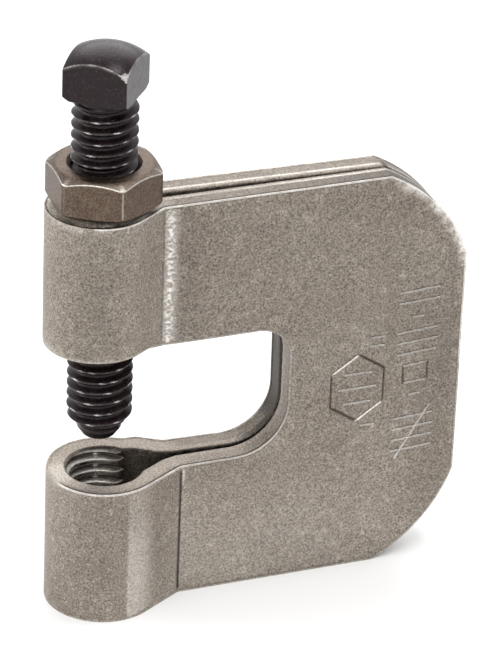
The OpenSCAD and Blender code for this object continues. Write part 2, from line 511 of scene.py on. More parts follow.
def body_points(side, q, z, depth):
    """Places points of one plate's strip, with the ring under the lock nut and the two threaded holes."""
    q, z, depth = (np.asarray(v, float) for v in np.broadcast_arrays(q, z, depth))
    depth = depth + relief(side, q, z) * np.clip(1 - depth / 0.3, 0, 1)
    upper = z > THROAT_MIDDLE
    ux, uy = UPPER.place(q, depth)
    lx, ly = LOWER.place(q, depth)
    x, y = np.where(upper, ux, lx), side * np.where(upper, uy, ly)
    if side == FAR:
        y = y + far_splay(q, z)
    axis_x = np.where(upper, SCREW_X, ROD_LOOP_X)
    r = np.hypot(x - axis_x, y)
    theta = np.arctan2(y, x - axis_x)
    in_arm = q < np.where(upper, UPPER.plate_q, LOWER.plate_q)

    ring = smooth(SEAT_FOOT_R, SEAT_TOP_R, r) * smooth(BODY_H - 2, BODY_H, z)
    z = np.where(upper & in_arm, z + SEAT_H * ring, z)
    wall = np.where(upper, upper_hole(r, theta, z, depth), rod_eye(r, theta, z))
    r = np.where(in_arm, wall, r)
    points = np.stack([axis_x + r * np.cos(theta), r * np.sin(theta), z], axis=-1)
    return wavy(side, points, depth)


def wavy(side, points, depth):
    """Gives an outer face the slight waviness of formed, unmachined metal."""
    flat = points.reshape(-1, 3)
    wave = rough(flat, 9.0, 2) * 0.035 + rough(flat, 2.2, 2, 7.3) * 0.008
    flat[:, 1] += side * wave * (depth.reshape(-1) < STRIP_T / 2)
    return flat.reshape(points.shape)


# Inside points and lines that come this near to the boundary are left out
POINT_GAP = 0.24
LINE_GAP = 0.12


def triangulate(loop, inside, lines):
    """Triangles that fill a closed loop and use the inside points and lines."""
    tree = kdtree.KDTree(len(loop))
    for i, p in enumerate(loop):
        tree.insert((p[0], p[1], 0), i)
    tree.balance()
    clear = [p for p in inside if tree.find((p[0], p[1], 0))[2] > POINT_GAP]
    verts = [Vector(p) for p in loop] + [Vector(p) for p in clear]
    edges = []
    for line in lines:
        keep = [tree.find((p[0], p[1], 0))[2] > LINE_GAP for p in line]
        first = len(verts)
        verts += [Vector(p) for p in line]
        edges += [(first + i, first + i + 1) for i in range(len(line) - 1) if keep[i] and keep[i + 1]]
    out = delaunay_2d_cdt(verts, edges, [list(range(len(loop)))], 1, 1e-5)
    return np.array([tuple(v) for v in out[0]]), out[2]


def lattice(q0, q1, dq, z0, z1, dz):
    qs = np.arange(q0, q1 + 1e-6, dq)
    zs = np.arange(z0, z1 + 1e-6, dz)
    return [(q, z) for q in qs for z in zs]


SEAM_STEP = 0.9


def even_heights(z0, z1):
    n = max(2, round(abs(z1 - z0) / SEAM_STEP))
    return np.linspace(z0, z1, n + 1)[1:-1]


def sheet_loop(rim, throat, lower_zs, upper_zs):
    """The closed boundary of half the strip's face. The heights are for the points of the loops' front
    lines, where the two halves meet."""
    loop = [tuple(p) for p in rim]
    loop += [(UPPER.front_q, z) for z in upper_zs]
    loop += [tuple(p) for p in throat]
    loop += [(LOWER.front_q, z) for z in lower_zs]
    return loop


def outer_sheet(skin, side, rim, throat):
    """The strip's outer face, finest at the bends, in the bright band and along the stamps."""
    rim, throat = inset(rim, OUTER_INSET), inset(throat, OUTER_INSET)
    loop = sheet_loop(rim, throat, even_heights(throat[-1][1], rim[0][1]),
                      even_heights(rim[-1][1], throat[0][1]))
    inside = []
    for arm, z0, z1 in ((LOWER, 0.7, LOWER_ARM_H), (UPPER, THROAT_TOP, BODY_H)):
        inside += lattice(arm.front_q + 0.4, arm.bend_q - 0.1, 0.4, z0, z1, 0.9)
        inside += lattice(arm.bend_q, arm.plate_q + 0.5, 0.08, z0, z1, 0.9)
        inside += lattice(arm.plate_q + 0.7, THROAT_DEPTH - 0.45, 0.9, z0, z1, 0.9)
    inside += lattice(THROAT_DEPTH + 0.25, BODY_DEPTH, 0.9, 0.7, BODY_H, 0.9)
    inside += lattice(UPPER.plate_q - 0.1, UPPER.plate_q + 2.6, 0.17, THROAT_TOP + 0.2, BODY_H, 0.11)
    inside += lattice(EYE_BAND_Q, EYE_BAND_Q + 0.3, 0.1, 0.7, LOWER_ARM_H, 1.1)
    flat, faces = triangulate(loop, inside, groove_lines() if side == NEAR else [])
    q, z = flat[:, 0], flat[:, 1]
    skin.add(body_points(side, q, z, np.zeros(len(q))), face_marks(side, q, z), faces)


def groove_lines():
    """Lines along each stamped stroke, at the distances where the groove's slope changes."""
    lines = []
    for path in STROKES:
        points = np.array(subdivide([tuple(p) for p in path], 0.35))
        closed = np.allclose(points[0], points[-1])
        for off in sorted({s * d for d in GROOVE_AT for s in (-1, 1)}):
            moved = inset(points, off)
            if closed:
                moved[0] = moved[-1] = (moved[0] + moved[-1]) / 2
            lines.append([tuple(p) for p in moved])
        if not closed:
            lines += stroke_ends(points)
    return lines


def stroke_ends(points):
    """Half rings of points round both ends of a stroke."""
    ends = []
    for tip, inner in ((points[0], points[1]), (points[-1], points[-2])):
        turn = math.atan2(*(tip - inner)[::-1])
        angles = np.linspace(turn - math.pi / 2, turn + math.pi / 2, 7)
        ends += [[(tip[0] + off * math.cos(a), tip[1] + off * math.sin(a)) for a in angles]
                 for off in GROOVE_AT[1:]]
    return ends


# The strength of the painted highlight stripe down the rod eye, and where the stripe starts
EYE_BAND = 0.34
EYE_BAND_Q = LOWER.flank_q - 2.9
# Marks of the plates fade in over this stretch behind the loops
PLATE_FADE = (4, 9)
# Heights over which the wear of the upper back corner fades in
CORNER_FADE = (38, 42)


def eye_band(q, z):
    """A painted highlight stripe down the rod eye, stronger towards the bottom."""
    start = EYE_BAND_Q
    across = smooth(start, start + 0.25, q) * smooth(start + 5.0, start + 2.0, q)
    return across * (0.35 + 0.65 * smooth(16, 8, z)) * (z < THROAT_MIDDLE)


def painted_shade_areas(q, z):
    """Broad darker areas of painted shade: the plate's upper and back parts, a strip beside the bright
    band, and a band down the front of each loop.
    """
    upper_plate = 0.22 * smooth(6, 28, z) * smooth(*PLATE_FADE, q)
    back_edge = 0.16 * smooth(34, 43, q) * smooth(44, 30, z)
    beside_band = 0.08 * hump(q, UPPER.plate_q + 3.2, 1.6) * (z > THROAT_MIDDLE)
    upper_loop = 0.3 * hump(UPPER.around(q), 1.95, 0.7) * (z > THROAT_MIDDLE)
    lower_loop = 0.16 * hump(LOWER.around(q), 2.1, 0.5) * smooth(0, 9, z) * (z < THROAT_MIDDLE)
    return upper_plate + back_edge + beside_band + upper_loop + lower_loop


def corner_wear(q, z):
    """The ragged line along the upper back corner where the plate is worn."""
    cx, cz = corner_centre()
    inward = CORNER_R - np.hypot(q - cx, z - cz)
    ragged = 0.3 * np.sin(q * 4.9 + 2 * np.sin(z * 3.9))
    at_corner = smooth(CORNER_START_X - 0.3, CORNER_START_X + 1.5, q) * smooth(*CORNER_FADE, z)
    return smooth(0.95, 0.4, inward + ragged) * at_corner


def crease_lines(q, z):
    """Painted shade: the dark line along each crease, fainter on the upper arm."""
    crease_q = by_arm(z, (UPPER.bend_q + UPPER.plate_q) / 2, (LOWER.bend_q + LOWER.plate_q) / 2)
    return smooth(0.24, 0.06, np.abs(q - crease_q + 0.05)) * by_arm(z, 0.4, 1.0)


def stroke_marks(q, z):
    """Painted highlight and shade in the stamps: rising strokes get a painted highlight on their lower
    wall, falling strokes are painted dark, and all have painted shade on their upper wall."""
    d, lean, above = nearest_stroke(q, z)
    in_groove = smooth(0.2, 0.08, d)
    shade = smooth(0.2, 0.8, above) * smooth(0.02, 0.08, d) * smooth(0.28, 0.18, d)
    dark = smooth(0.1, -0.5, lean) * in_groove
    lit = smooth(-0.1, 0.5, lean) * smooth(0.5, -0.1, above) * in_groove
    return 0.72 * lit, 0.7 * np.maximum(dark, shade)


def face_marks(side, q, z):
    """Rubbed shine and dark marks on an outer face, with painted highlights and painted shade."""
    band = band_mask(q, z)
    streak = hump(q, UPPER.plate_q + 0.75, 0.55)
    chunk = smooth(0.35, -0.45, chatter(q, z))
    polish_and_highlight = band * (0.1 + 0.3 * streak + 0.5 * streak * chunk + 0.08 * chunk)
    # Painted light: the lower part of the plate is made brighter.
    low_plate = smooth(24, 4, z) * smooth(*PLATE_FADE, q) * smooth(38, 26, q)
    polish_and_highlight = np.maximum(polish_and_highlight, 0.1 * low_plate)
    # A painted highlight stripe down the rod eye.
    polish_and_highlight = np.maximum(polish_and_highlight, EYE_BAND * eye_band(q, z))
    # Painted shade over broad areas, and dark ripples in the bright band.
    grime_and_shade = painted_shade_areas(q, z) + band * 0.25 * streak * (1 - chunk)
    worn = corner_wear(q, z)
    polish_and_highlight = np.maximum(polish_and_highlight, 0.42 * worn)
    # Painted shade along the creases.
    grime_and_shade = np.maximum(grime_and_shade * (1 - 0.7 * worn), crease_lines(q, z))
    glint = hump(q, LOWER.plate_q + 0.2, 0.12) * smooth(14.5, 17.0, z) * (z < THROAT_MIDDLE)
    polish_and_highlight = np.maximum(polish_and_highlight, 0.8 * glint)
    if side == NEAR:
        # Painted highlight and shade in the stamps.
        lit, dark = stroke_marks(q, z)
        polish_and_highlight, grime_and_shade = np.maximum(polish_and_highlight, lit), np.maximum(grime_and_shade, dark)
    return np.stack([polish_and_highlight, grime_and_shade], axis=1)


# How far the threads run out along the flanks
FLANK_THREAD = 2.9


def thread_lines(side, arm, thread, low, high):
    """Lines along an arm's thread on its inner face, and the heights at which they reach its front line."""
    columns = np.linspace(arm.front_q, arm.flank_q + FLANK_THREAD, 57)
    x, y = arm.place(columns, STRIP_T)
    theta = np.arctan2(side * y, x - thread.x)
    theta[0] = side * math.pi
    lines, front_zs = [], []
    for foot in thread.pitches(low, high):
        for row in thread.rows():
            zs = foot + row + thread.pitch * theta / math.tau
            inside = (zs > low) & (zs < high)
            if inside[0]:
                front_zs.append(zs[0])
            line = [(q, z) for q, z, ok in zip(columns[1:], zs[1:], inside[1:]) if ok]
            if len(line) > 1:
                lines.append(line)
    return lines, sorted(front_zs, reverse=True)


def inner_sheet(skin, side, rim, throat):
    """The strip's inner face: the threaded holes, the gaps behind them and the walls of the slit."""
    edge = INNER_INSET + 0.1
    rod_lines, lower_zs = thread_lines(side, LOWER, ROD_THREAD, edge, LOWER_ARM_H - edge)
    hole_lines, upper_zs = thread_lines(side, UPPER, HOLE_THREAD, THROAT_TOP + LOOP_LIFT + edge,
                                        BODY_H - edge)
    loop = sheet_loop(inset(rim, INNER_INSET), inset(throat, INNER_INSET), lower_zs, upper_zs)
    inside = []
    for arm, z0, z1 in ((LOWER, 0.8, LOWER_ARM_H), (UPPER, THROAT_TOP + LOOP_LIFT, BODY_H)):
        inside += lattice(arm.flank_q + FLANK_THREAD + 0.5, arm.bend_q, 0.6, z0, z1, 0.9)
        inside += lattice(arm.bend_q, arm.plate_q, 0.03, z0, z1, 1.8)
        inside += lattice(arm.plate_q + 0.8, THROAT_DEPTH - 0.45, 2, z0, z1, 2)
    inside += lattice(THROAT_DEPTH + 0.55, BODY_DEPTH, 2, 1, BODY_H, 2)
    flat, faces = triangulate(loop, inside, rod_lines + hole_lines)
    q, z = flat[:, 0], flat[:, 1]
    points = body_points(side, q, z, np.full(len(q), STRIP_T))
    skin.add(points, inner_marks(side, q, z, points), faces)


def slit_light(side, q, z):
    """Where light reaches the far plate's inner face, through the slit's open end."""
    past_loop = smooth(UPPER.plate_q + 0.2, UPPER.plate_q + 1.2, q)
    return (side == FAR) * past_loop * smooth(BODY_H - 1.7, BODY_H - 0.9, z)


# Direction of a painted highlight streak across the rod eye's thread
GLINT_STREAK_AT = math.radians(83)


def inner_marks(side, q, z, points):
    """Painted highlights on the thread crests and in one streak across them, and painted shade in their
    grooves and deep between the plates.
    """
    from_flank = q - by_arm(z, UPPER.flank_q, LOWER.flank_q)
    x, y = points[:, 0], points[:, 1]
    # The thread's crests get a painted highlight and its grooves painted shade.
    groove = smooth(4.25, 4.75, np.hypot(x - by_arm(z, SCREW_X, ROD_LOOP_X), y))
    # A painted highlight streak on the far side of the rod eye's thread.
    glint_streak = hump(np.arctan2(y, x), GLINT_STREAK_AT, 0.06) * (z < LOWER_ARM_H + 0.2) * (side == FAR)
    polish_and_highlight = np.maximum(0.9 * (1 - groove) * smooth(0.6, -2.6, from_flank), glint_streak)
    # Painted shade deep between the plates, darker on the near plate.
    beyond = smooth(1.0, 2.4, from_flank)
    deep = 0.65 if side == NEAR else 0.3
    grime_and_shade = 0.75 * groove * (1 - beyond) + beyond * (0.25 + deep * smooth(3, 6, from_flank))
    grime_and_shade = grime_and_shade * (1 - glint_streak) * (1 - 0.9 * slit_light(side, q, z))
    return np.stack([polish_and_highlight, grime_and_shade], axis=1)


def burr_left(q, z, broken):
    """How much of the painted shade in the burr's hollow and of its bright crest is kept. Both fade out at
    the loops' fronts, and beside that the upper loop's crest is broken into dashes."""
    phi_upper, phi_lower = UPPER.around(q), LOWER.around(q)
    hollow = by_arm(z, smooth(2.3, 2.05, phi_upper), smooth(2.95, 2.6, phi_lower))
    dashes = np.maximum(smooth(1.7, 1.5, phi_upper), smooth(0.4, 0.55, broken))
    return hollow, hollow * by_arm(z, dashes, 1.0)


# Depths under the outer face, on the cut edge: the burr, the hollow behind it, and the sheared band
BURR_AT, HOLLOW_AT, SHEARED_AT = 0.07, 0.42, 2.18


def burr_marks(side, q, z, gap, depth, is_throat, on_plate, broken):
    """The burr's shine with a painted highlight, strongest where the edge faces up, and painted shade
    beside it.
    """
    facing_up = 1 - smooth(18, 26, z) if is_throat else smooth(THROAT_MIDDLE, THROAT_MIDDLE + 1, z)
    at_burr = hump(depth, BURR_AT, 0.11) * (gap < 0.2)
    # The burr is bright, with a painted highlight where the edge faces up.
    polish_and_highlight = at_burr * (0.6 + 0.4 * broken) * (0.35 + 0.65 * facing_up) * (1 - 0.35 * is_throat * on_plate)
    hollow, crest = burr_left(q, z, broken)
    polish_and_highlight = np.maximum(polish_and_highlight * crest, 0.15 * (1 - hollow))
    # On the face beside the burr: a painted shadow line.
    if depth < 0.05 and gap > 0.2:
        return polish_and_highlight, 0.55 * hump(gap, 0.28, 0.08) * on_plate * (0.5 + 0.5 * broken)
    # Painted shade in the hollow behind the burr, strongest where the edge faces up.
    valley = hump(depth, HOLLOW_AT, 0.17) * hollow * (0.4 + 0.6 * facing_up)
    return polish_and_highlight, np.maximum(0.14 * smooth(-9, -4, q), valley * (1.0 if side == NEAR else 0.35))


# Where the throat's near edge has a nick
NICK_Q = 13.1


def throat_marks_and_shade(side, q, z, depth, torn):
    """Dark marks on the throat's cut edge: the torn band on both plates and a nick on the near plate, with
    painted shade on the far plate's back wall and towards its slit side.
    """
    if side == NEAR:
        nick = hump(q, NICK_Q, 0.25) * hump(depth, 0.4, 0.2) * (z < LOWER_ARM_H + 1.2)
        return np.maximum(0.3 * torn, nick)
    # Painted shade on the far plate's back wall and towards the slit.
    wall = smooth(THROAT_DEPTH - 2.6, THROAT_DEPTH - 0.5, q)
    grime_and_shade = np.maximum(0.42 * torn, 0.93 * wall * smooth(-0.1, 0.3, depth))
    return np.maximum(grime_and_shade, 0.9 * smooth(1.7, 2.3, depth) * smooth(15, 21, q))


def rim_marks(side, q, z, depth, torn, on_plate, broken, polish_and_highlight, grime_and_shade):
    """Adds the rim's worn corner, sheared band, torn middle, and the far plate's chipped corner."""
    if depth < 0.05:
        corner = smooth(CORNER_START_X - 0.5, CORNER_START_X + 1, q) * smooth(*CORNER_FADE, z)
        polish_and_highlight = np.maximum(polish_and_highlight, 0.9 * corner * broken)
        grime_and_shade = grime_and_shade * (1 - 0.7 * corner)
    shear = 0.8 if side == FAR else 0.3 + 0.3 * smooth(16, 26, q)
    sheared = hump(depth, SHEARED_AT, 0.17) * on_plate
    polish_and_highlight = np.maximum(polish_and_highlight, shear * sheared * (0.6 + 0.4 * broken))
    # The torn band is dark from its rough metal, with more painted shade on the near plate for its tilt
    # away from the light.
    dark = 0.46 + 0.16 * smooth(18, 30, q) if side == NEAR else 0.26
    chip = hump(q, CORNER_START_X + 0.5, 0.4) * smooth(1.2, 1.5, depth) * (z > 40) * (side == FAR)
    return polish_and_highlight * (1 - chip), np.maximum(np.maximum(grime_and_shade, dark * torn), chip)


def edge_marks(side, line, gap, depth, is_throat):
    """Shine and dark marks on the cut edge, which is sheared bright near the slit and torn near the burr,
    with painted highlight and painted shade.
    """
    q, z = line[:, 0], line[:, 1]
    walk = np.arange(len(line)) * EDGE_STEP
    broken = 0.5 + 0.3 * np.sin(walk * 0.9 + 2 * np.sin(walk * 0.31)) + 0.2 * np.sin(walk * 2.7)
    on_plate = smooth(-0.5, 2.0, q - by_arm(z, UPPER.plate_q, LOWER.plate_q))
    torn = smooth(0.35, 0.6, depth) * smooth(2.1, 1.9, depth) * on_plate
    polish_and_highlight, grime_and_shade = burr_marks(side, q, z, gap, depth, is_throat, on_plate, broken)
    if is_throat:
        grime_and_shade = np.maximum(grime_and_shade, throat_marks_and_shade(side, q, z, depth, torn))
    else:
        polish_and_highlight, grime_and_shade = rim_marks(side, q, z, depth, torn, on_plate, broken, polish_and_highlight, grime_and_shade)
    # Painted shade inside the slit, less where light comes through its open end.
    in_slit = smooth(2.72, 2.86, depth) * smooth(-5, -1, q)
    grime_and_shade = np.maximum(grime_and_shade, 0.9 * in_slit * (1 - 0.9 * slit_light(side, q, z)))
    return np.stack(np.broadcast_arrays(polish_and_highlight, grime_and_shade), axis=1)


def edge_band(skin, side, path, is_throat):
    rows, marks = [], []
    for gap, depth in EDGE_PROFILE:
        line = inset(path, gap)
        rows.append(body_points(side, line[:, 0], line[:, 1], depth))
        marks.append(edge_marks(side, line, gap, depth, is_throat))
    skin.add_grid(rows, np.array(marks))


def clamp_body():
    skin = Skin()
    rim, throat = rim_edge(), throat_edge()
    for side in (NEAR, FAR):
        outer_sheet(skin, side, rim, throat)
        inner_sheet(skin, side, rim, throat)
        edge_band(skin, side, rim, False)
        edge_band(skin, side, throat, True)
    return skin.build("clamp_body_steel")


# ---- turned and threaded pieces


def columns_with_corners(corners, count=96):
    """Angles all the way round, closer together at the corners."""
    angles = list(np.linspace(0, math.tau, count, endpoint=False))
    for c in corners:
        angles += [c + math.radians(d) for d in (-4.6, -3.2, -2.0, -1.2, -0.6, 0, 0.6, 1.2, 2.0, 3.2, 4.6)]
    angles = np.sort(np.mod(angles, math.tau))
    keep = [angles[0]]
    for a in angles[1:]:
        if a - keep[-1] > math.radians(0.35):
            keep.append(a)
    return np.array(keep)


def prism_radius(theta, turn, sides, across, sharpness):
    """Radius of a prism with slightly rounded corners. turn is the direction of one corner."""
    total = np.zeros_like(theta)
    for k in range(sides):
        face = turn + (k + 0.5) * math.tau / sides
        total += np.maximum(0, np.cos(theta - face) / (across / 2)) ** sharpness
    return total ** (-1 / sharpness)


# How much the corners of a turned profile are rounded, and with how many points
SOFT_R, SOFT_STEPS = 0.13, 4


def soften(path, radius=SOFT_R):
    """Rounds the inner corners of a profile. path is a list of (r, z), each a number or one per column."""
    size = max(np.size(v) for p in path for v in p)
    pts = [np.stack([np.broadcast_to(v, size).astype(float) for v in p], axis=1) for p in path]
    out = [pts[0]]
    for a, b, c in zip(pts, pts[1:], pts[2:]):
        back, ahead = a - b, c - b
        lb, la = (np.linalg.norm(v, axis=1)[:, None] for v in (back, ahead))
        cut = np.minimum(radius, 0.45 * np.minimum(lb, la))
        p, s = b + back / lb * cut, b + ahead / la * cut
        for t in np.linspace(0, 1, SOFT_STEPS):
            out.append((1 - t) ** 2 * p + 2 * t * (1 - t) * b + t * t * s)
    out.append(pts[-1])
    return out


def turned(theta, profile, z0):
    """Rows of points round the screw's axis from a profile of (r, z) per column."""
    return [on_axis(p[:, 0], theta, z0 + p[:, 1]) for p in profile]


def helix_rows(theta, thread, low, high, radius):
    """Rows that follow a thread from low to high. radius gives r from theta and z."""
    rows = []
    for foot in thread.pitches(low, high)[:-1]:
        for row in thread.rows()[:-1]:
            z = np.clip(foot + row + thread.pitch * theta / math.tau, low, high)
            rows.append(on_axis(radius(theta, z), theta, z))
    return rows


def screw_radius(theta, z):
    """The set screw's thread, cut down by the cone at its tip and fading out under the head."""
    r = SCREW_THREAD.radius(theta, z)
    lead = CONE_R + z - TIP_Z - CONE_H
    fade = smooth(HEAD_Z - NECK_H - 0.6, HEAD_Z - NECK_H, z)
    r = r + (SCREW_ROOT_R - r) * fade
    return np.minimum(r, lead)


def facet_reach(theta, z):
    """Radius at which the small flat worn on the head's front corner lies, z above the head's foot."""
    around = np.cos(theta - FRONT_CORNER)
    reach = (FACET_AT - z * math.sin(FACET_TILT)) / (np.maximum(around, 0.2) * math.cos(FACET_TILT))
    return np.where(around > 0.95, reach, 99.0)


CUP_DEPTH = 0.9


def cup_point():
    """The set screw's end: a cup with a rounded lip, and the cone round it."""
    cup = [(0.02, CUP_DEPTH), (1.35, 0.06), (1.62, 0.0)]
    cone = [(1.95, 0.05), (CONE_R - 0.02, 1.1), (CONE_R, CONE_H)]
    return soften(cup + cone, 0.12)


# The dome's rings of points, as shares of its radius
DOME_RINGS = (1.0, 0.93, 0.85, 0.75, 0.62, 0.48, 0.33, 0.18, 0.06)


def crown_height(r):
    """Height of the head's domed top."""
    return HEAD_H - CROWN_R + np.sqrt(CROWN_R ** 2 - r ** 2)


def head_profile(theta, square):
    """The square head: bevelled foot, flat sides, domed top, and the flat worn on its front corner."""
    foot_z = 0.12 + 0.4 * np.clip((square - HEAD_FOOT_R) / (HEAD_CORNER_R - HEAD_FOOT_R), 0, 1)
    shape = [(SCREW_ROOT_R, -NECK_H + 0.25), (SCREW_ROOT_R, 0.0)]
    shape += [(np.minimum(square - 0.12, HEAD_FOOT_R), 0.0), (square, foot_z), (square, foot_z + 0.4)]
    shape += [(square, crown_height(square) - 0.5)]
    shape = soften(shape + [(f * square, crown_height(f * square)) for f in DOME_RINGS])
    return [np.stack([np.minimum(p[:, 0], facet_reach(theta, p[:, 1])), p[:, 1]], axis=1) for p in shape]


def set_screw():
    corners = [HEAD_TURN + math.radians(45 + 90 * k) for k in range(4)]
    theta = columns_with_corners(corners)
    square = np.minimum(prism_radius(theta, corners[0], 4, HEAD_AF, 110), HEAD_CORNER_R)
    tip = turned(theta, [np.broadcast_to(p, (len(theta), 2)) for p in cup_point()], TIP_Z)
    thread = helix_rows(theta, SCREW_THREAD, TIP_Z + CONE_H, HEAD_Z - NECK_H + 0.2, screw_radius)
    head = turned(theta, head_profile(theta, square), HEAD_Z)
    rows = np.array(tip + thread + head)
    skin = Skin()
    skin.add_grid(rows, screw_marks(rows, theta, square), wrap=True)
    skin.add_cap(rows[0], (SCREW_X, 0, TIP_Z + CUP_DEPTH), flip=True)
    skin.add_cap(rows[-1], (SCREW_X, 0, HEAD_Z + HEAD_H))
    return skin.build("set_screw_black")


def screw_marks(rows, theta, square):
    """Thread crests carry painted glints in dashes, their roots painted shade, and the head's front corner
    is worn bright with a painted highlight.
    """
    r = np.hypot(rows[..., 0] - SCREW_X, rows[..., 1])
    z = rows[..., 2] - HEAD_Z
    shaft = z < -0.3
    along = rows[..., 2] * 2.1 + theta
    dashes = 0.5 + 0.35 * np.sin(along * 4.3 + 2.0 * np.sin(rows[..., 2] * 1.7)) + 0.3 * np.sin(along * 9.7)
    # Painted glints in dashes on the thread crests.
    polish_and_highlight = smooth(SCREW_R - 0.08, SCREW_R, r) * shaft * (0.05 + 0.8 * smooth(0.68, 1.0, dashes))
    at_rim = smooth(0.17, 0.05, np.hypot(r - square, z - crown_height(square)))
    polish_and_highlight = np.maximum(polish_and_highlight, 0.4 * at_rim * (0.4 + 0.6 * np.sin(theta * 6) ** 2))
    # The worn flat on the head's front corner carries a painted highlight.
    on_facet = (r > facet_reach(theta, z) - 0.01) * smooth(3.4, 3.65, z) * smooth(4.75, 4.5, z)
    polish_and_highlight = np.maximum(polish_and_highlight, on_facet)
    # Painted shade in the thread roots.
    grime_and_shade = smooth(SCREW_ROOT_R + 0.3, SCREW_ROOT_R, r) * shaft
    return np.stack([polish_and_highlight, grime_and_shade], axis=-1)


def nut_hole_radius(theta, z):
    """Radius of the nut's threaded hole, with its two rims."""
    cut = np.maximum(HOLE_THREAD.radius(theta, z), HOLE_RIM_R - (z - NUT_Z))
    return np.maximum(cut, HOLE_RIM_R - (NUT_Z + NUT_H - z))


def lock_nut():
    corners = [NUT_TURN + math.radians(60 * k) for k in range(6)]
    theta = columns_with_corners(corners, 120)
    corner_r, face_r = 0.56 * NUT_AF, 0.46 * NUT_AF
    hexagon = np.minimum(prism_radius(theta, corners[0], 6, NUT_AF, 45), corner_r)
    share = np.clip((hexagon - face_r) / (corner_r - face_r), 0, 1)
    rim = HOLE_RIM_R
    top_z, low_z = NUT_H - 0.65 * share, 0.4 * share + 0.02
    top = [(rim, NUT_H), (rim + 0.12, NUT_H), (4.9, NUT_H), (face_r, NUT_H - 0.1 * share)]
    side = [(hexagon, top_z), (hexagon, top_z - 0.3), (hexagon, low_z + 0.3), (hexagon, low_z)]
    bottom = [(face_r, 0.0), (rim + 0.12, 0.0), (rim, 0.0)]
    outside = turned(theta, soften(top + side + bottom), NUT_Z)
    inside = helix_rows(theta, HOLE_THREAD, NUT_Z, NUT_Z + NUT_H, nut_hole_radius)
    rows = np.array(outside + inside)
    skin = Skin()
    skin.add_grid(rows, nut_marks(rows, theta, hexagon, NUT_Z + top_z), wrap=True, close=True)
    return skin.build("lock_nut_steel")


def nut_marks(rows, theta, hexagon, edge_z):
    """The chamfer's edge is rubbed bright with a painted highlight, most of all at the corners, the corners
    carry a painted highlight in dashes, strongest at the front right, and the threads get painted shade.
    """
    r = np.hypot(rows[..., 0] - SCREW_X, rows[..., 1])
    away = np.hypot(r - hexagon, rows[..., 2] - edge_z)
    near_corner = np.cos(6 * (theta - NUT_TURN))
    corner = smooth(0.93, 0.995, near_corner)
    at_edge = smooth(0.16 + 0.04 * corner, 0.03, away)
    # A painted highlight in dashes up the corners, strongest at the front right.
    upright = smooth(0.99, 1.0, near_corner) * smooth(0.1, 0.0, hexagon - r)
    dashes = 0.5 + 0.5 * np.sin(rows[..., 2] * 5.7 + 2 * np.sin(rows[..., 2] * 2.3))
    front_right = np.cos(theta - NUT_TURN - math.radians(240)) > 0.99
    polish_and_highlight = np.maximum((0.65 + 0.35 * corner) * at_edge, (0.05 + 0.19 * front_right) * upright * dashes)
    # Painted shade in the threaded hole.
    grime_and_shade = smooth(SCREW_R + 0.05, SCREW_R - 0.3, r)
    return np.stack([polish_and_highlight, grime_and_shade], axis=-1)


# ---- materials


class Paint:
    """A small builder for a material's nodes."""

    def __init__(self, name):
        self.material = bpy.data.materials.new(name)
        self.material.use_nodes = True
        self.tree = self.material.node_tree
        self.shader = self.tree.nodes["Principled BSDF"]
        coords = self.tree.nodes.new("ShaderNodeTexCoord")
        self.object = coords.outputs["Object"]

    def feed(self, sockets_and_values):
        for socket, value in sockets_and_values:
            if isinstance(value, bpy.types.NodeSocket):
                self.tree.links.new(value, socket)
            else:
                socket.default_value = value

    def node(self, kind, inputs=(), **settings):
        made = self.tree.nodes.new(kind)
        for key, value in settings.items():
            setattr(made, key, value)
        self.feed((made.inputs[key], value) for key, value in dict(inputs).items())
        return made

    def grain(self, size_mm, detail, rough_share=0.55, distortion=0.0):
        """Noise with lumps about size_mm across."""
        made = self.node("ShaderNodeTexNoise", {
            "Vector": self.object, "Scale": 1 / (size_mm * MM), "Detail": detail,
            "Roughness": rough_share, "Distortion": distortion,
        })
        return made.outputs["Fac"]

    def attribute(self, name):
        return self.node("ShaderNodeAttribute", attribute_name=name).outputs["Fac"]

    def spread(self, value, low, high, to_low=0.0, to_high=1.0):
        """Stretches the range from low to high over the range from to_low to to_high."""
        return self.node("ShaderNodeMapRange", {
            "Value": value, "From Min": low, "From Max": high, "To Min": to_low, "To Max": to_high,
        }).outputs[0]

    def calc(self, operation, a, b):
        made = self.node("ShaderNodeMath", operation=operation)
        self.feed(zip(made.inputs, (a, b)))
        return made.outputs[0]

    def mix(self, share, a, b, how="MIX"):
        """Mixes two colours. A colour mix node has them on inputs 6 and 7, and its result on output 2."""
        made = self.node("ShaderNodeMix", data_type="RGBA", blend_type=how)
        self.feed(zip((made.inputs[0], made.inputs[6], made.inputs[7]), (share, a, b)))
        return made.outputs[2]

    def bump(self, height, distance_mm, normal=None):
        """Small relief, on top of another bump where normal is given."""
        inputs = {"Height": height, "Strength": 1.0, "Distance": distance_mm * MM}
        if normal is not None:
            inputs["Normal"] = normal
        return self.node("ShaderNodeBump", inputs).outputs[0]

    def finish(self, colour, roughness, normal, others):
        inputs = {"Base Color": colour, "Roughness": roughness, "Normal": normal, **others}
        self.feed((self.shader.inputs[key], value) for key, value in inputs.items())
        return self.material


def rgb(r, g, b):
    return (r, g, b, 1.0)


